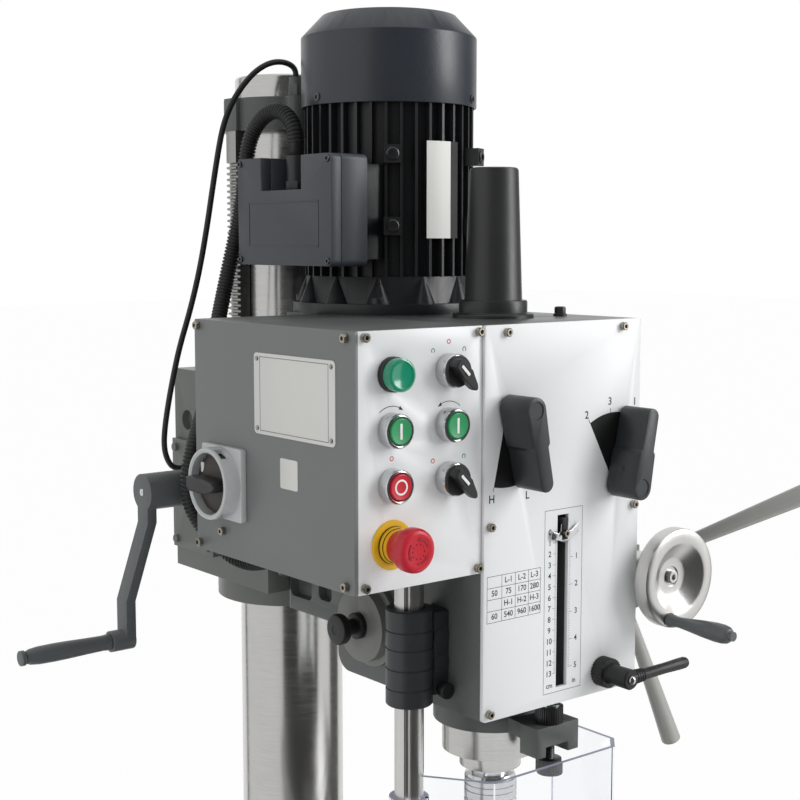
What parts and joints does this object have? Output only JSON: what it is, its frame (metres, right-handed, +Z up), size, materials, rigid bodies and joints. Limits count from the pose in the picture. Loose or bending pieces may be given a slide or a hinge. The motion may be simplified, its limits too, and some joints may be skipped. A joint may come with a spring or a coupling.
{
  "type": "mill drill",
  "caption": "Mill drill: a gear head with motor, electrical box, quill feed levers and chuck guard, raised by a crank and rack on a round column over a cross table.",
  "frame": {"origin": "on the underside of the base, midway between its four anchor holes", "axes": "+X to the operator's right along the table, +Y to the back, +Z up along the column"},
  "size_m": [1.036, 0.74, 1.2295],
  "materials": {
    "casting_paint": "satin",
    "cover_paint": "satin",
    "bright_steel": "polished",
    "dark_steel": "satin",
    "screw_steel": "satin",
    "table_iron": "ground",
    "panel_white": "satin",
    "motor_black": "satin",
    "crank_paint": "satin",
    "lever_paint": "satin",
    "bright_aluminium": "polished",
    "chrome_trim": "polished",
    "black_plastic": "matte",
    "grey_plastic": "gloss",
    "green_plastic": "gloss",
    "red_plastic": "gloss",
    "yellow_plastic": "gloss",
    "clear_plastic": "clear",
    "cord_black": "satin"
  },
  "bodies": {
    "stand": {"base_casting": "casting_paint", "column_foot": "casting_paint", "foot_bolts": "dark_steel", "column_tube": "bright_steel"},
    "saddle": {"saddle": "casting_paint"},
    "table": {"work_table": "table_iron"},
    "x_screw": {"x_feed_screw": "screw_steel"},
    "y_screw": {"y_feed_screw": "screw_steel"},
    "mast": {"column_rack": "bright_steel", "top_collar": "casting_paint"},
    "head": {"column_bracket": "casting_paint", "lift_cover": "cover_paint", "control_cable": "cord_black", "gearbox_casting": "casting_paint", "gearbox_front_panel": "panel_white", "electrical_box": "casting_paint", "box_side_cover": "cover_paint", "control_panel": "panel_white", "head_fasteners": "dark_steel", "motor_flange": "motor_black", "motor_stator": "motor_black", "fan_cover": "motor_black", "terminal_box": "motor_black", "terminal_box_lid": "motor_black", "conduit_glands": "black_plastic", "motor_conduit": "cord_black", "drawbar_cap": "black_plastic", "feed_housings": "casting_paint", "guard_clamp": "black_plastic", "switch_bezels": "chrome_trim", "estop_collar": "yellow_plastic", "pilot_lamp": "green_plastic", "main_switch_base": "grey_plastic"},
    "lift_pinion": {"lift_pinion": "dark_steel"},
    "lift_crank": {"lift_crank": "crank_paint"},
    "crank_grip": {"crank_grip": "black_plastic"},
    "rotor": {"motor_rotor": "dark_steel"},
    "quill": {"quill_sleeve": "bright_steel", "depth_stop_clamp": "casting_paint", "depth_rod": "dark_steel"},
    "spindle": {"spindle": "bright_steel", "keyless_chuck": "bright_steel"},
    "feed": {"feed_shaft": "bright_steel", "feed_levers": "lever_paint"},
    "fine_wheel": {"fine_feed_wheel": "bright_aluminium"},
    "fine_grip": {"fine_feed_grip": "black_plastic"},
    "range_lever": {"range_lever": "black_plastic"},
    "speed_lever": {"speed_lever": "black_plastic"},
    "quill_lock": {"quill_lock_lever": "black_plastic"},
    "forward_button": {"forward_button": "green_plastic"},
    "reverse_button": {"reverse_button": "green_plastic"},
    "stop_button": {"stop_button": "red_plastic"},
    "emergency_button": {"emergency_button": "red_plastic"},
    "mode_selector": {"mode_selector": "black_plastic"},
    "coolant_selector": {"coolant_selector": "black_plastic"},
    "main_switch": {"main_switch_knob": "black_plastic"},
    "guard_post": {"guard_post": "bright_aluminium"},
    "guard_shield": {"guard_shield": "clear_plastic"},
    "guard_knob": {"guard_knob": "black_plastic"},
    "spring_knob": {"spring_knob": "black_plastic"}
  },
  "joints": [
    {"name": "saddle_slide", "type": "slide", "parent": "stand", "child": "saddle", "axis": [0, 1, 0], "range_m": [-0.08, 0.08]},
    {"name": "table_slide", "type": "slide", "parent": "saddle", "child": "table", "axis": [1, 0, 0], "range_m": [-0.2, 0.2]},
    {"name": "x_screw_turn", "type": "hinge", "parent": "table", "child": "x_screw", "pos_m": [0, -0.1385, 0.15], "axis": [1, 0, 0], "range_deg": [-14401, 14401]},
    {"name": "y_screw_turn", "type": "hinge", "parent": "stand", "child": "y_screw", "pos_m": [0, -0.32, 0.08], "axis": [0, 1, 0], "range_deg": [-5761, 5761]},
    {"name": "head_swing", "type": "hinge", "parent": "stand", "child": "mast", "pos_m": [0, 0.2, 0.7], "axis": [0, 0, 1], "range_deg": [-180, 180]},
    {"name": "head_lift", "type": "slide", "parent": "mast", "child": "head", "axis": [0, 0, 1], "range_m": [-0.05027, 0.18096], "deforming": ["control_cable"]},
    {"name": "lift_pinion_turn", "type": "hinge", "parent": "head", "child": "lift_pinion", "pos_m": [-0.0884, 0.2, 0.8058], "axis": [0, 1, 0], "range_deg": [-181, 649]},
    {"name": "lift_crank_turn", "type": "hinge", "parent": "head", "child": "lift_crank", "pos_m": [-0.2, 0.0645, 0.771], "axis": [1, 0, 0], "range_deg": [-3601, 12961]},
    {"name": "crank_grip_spin", "type": "hinge", "parent": "lift_crank", "child": "crank_grip", "pos_m": [-0.35, 0.0645, 0.6325], "axis": [1, 0, 0], "continuous": true},
    {"name": "quill_feed", "type": "slide", "parent": "head", "child": "quill", "axis": [0, 0, 1], "range_m": [-0.13, 0], "stiffness_N_per_m": 2600, "springref_m": 0.15},
    {"name": "feed_turn", "type": "hinge", "parent": "head", "child": "feed", "pos_m": [0.1, -0.07725, 0.647], "axis": [1, 0, 0], "range_deg": [0, 400]},
    {"name": "motor_spin", "type": "hinge", "parent": "head", "child": "rotor", "pos_m": [0, 0.0195, 0.9], "axis": [0, 0, 1], "continuous": true},
    {"name": "spindle_spin", "type": "hinge", "parent": "quill", "child": "spindle", "pos_m": [0, -0.1385, 0.6], "axis": [0, 0, 1], "continuous": true},
    {"name": "fine_wheel_turn", "type": "hinge", "parent": "head", "child": "fine_wheel", "pos_m": [0.13, -0.2505, 0.69], "axis": [0, 1, 0], "continuous": true},
    {"name": "fine_grip_spin", "type": "hinge", "parent": "fine_wheel", "child": "fine_grip", "pos_m": [0.11567, -0.3, 0.65266], "axis": [0, 1, 0], "continuous": true},
    {"name": "range_lever_turn", "type": "hinge", "parent": "head", "child": "range_lever", "pos_m": [-0.0705, -0.2405, 0.8653], "axis": [0, 1, 0], "range_deg": [0, 25]},
    {"name": "speed_lever_turn", "type": "hinge", "parent": "head", "child": "speed_lever", "pos_m": [0.063, -0.2405, 0.7855], "axis": [0, 1, 0], "range_deg": [-40, 0]},
    {"name": "quill_lock_turn", "type": "hinge", "parent": "head", "child": "quill_lock", "pos_m": [0.0505, -0.2405, 0.61], "axis": [0, 1, 0], "range_deg": [0, 45]},
    {"name": "forward_press", "type": "slide", "parent": "head", "child": "forward_button", "axis": [0, 1, 0], "range_m": [0, 0.004], "stiffness_N_per_m": 400},
    {"name": "reverse_press", "type": "slide", "parent": "head", "child": "reverse_button", "axis": [0, 1, 0], "range_m": [0, 0.004], "stiffness_N_per_m": 400},
    {"name": "stop_press", "type": "slide", "parent": "head", "child": "stop_button", "axis": [0, 1, 0], "range_m": [0, 0.004], "stiffness_N_per_m": 400},
    {"name": "emergency_press", "type": "slide", "parent": "head", "child": "emergency_button", "axis": [0, 1, 0], "range_m": [0, 0.006]},
    {"name": "mode_turn", "type": "hinge", "parent": "head", "child": "mode_selector", "pos_m": [-0.1345, -0.2325, 0.9008], "axis": [0, 1, 0], "range_deg": [-45, 45]},
    {"name": "coolant_turn", "type": "hinge", "parent": "head", "child": "coolant_selector", "pos_m": [-0.1345, -0.2325, 0.81], "axis": [0, 1, 0], "range_deg": [0, 90]},
    {"name": "main_switch_turn", "type": "hinge", "parent": "head", "child": "main_switch", "pos_m": [-0.25, -0.0405, 0.792], "axis": [1, 0, 0], "range_deg": [0, 90]},
    {"name": "guard_height", "type": "slide", "parent": "head", "child": "guard_post", "axis": [0, 0, 1], "range_m": [-0.06, 0]},
    {"name": "guard_swing", "type": "hinge", "parent": "guard_post", "child": "guard_shield", "pos_m": [-0.13, -0.1748, 0.45], "axis": [0, 0, 1], "range_deg": [-100, 0]},
    {"name": "guard_knob_turn", "type": "hinge", "parent": "head", "child": "guard_knob", "pos_m": [-0.106, -0.1905, 0.612], "axis": [0, 1, 0], "continuous": true},
    {"name": "spring_knob_turn", "type": "hinge", "parent": "head", "child": "spring_knob", "pos_m": [-0.12, -0.07725, 0.647], "axis": [1, 0, 0], "continuous": true}
  ],
  "couplings": [
    {"joint": "x_screw_turn", "follows": "table_slide", "rad_per_m": 1256.6},
    {"joint": "y_screw_turn", "follows": "saddle_slide", "rad_per_m": 1256.6},
    {"joint": "lift_pinion_turn", "follows": "head_lift", "rad_per_m": 62.5},
    {"joint": "lift_crank_turn", "follows": "head_lift", "rad_per_m": 1250},
    {"joint": "feed_turn", "follows": "quill_feed", "rad_per_m": -53.333},
    {"joint": "spindle_spin", "follows": "motor_spin", "ratio": 0.053571}
  ]
}
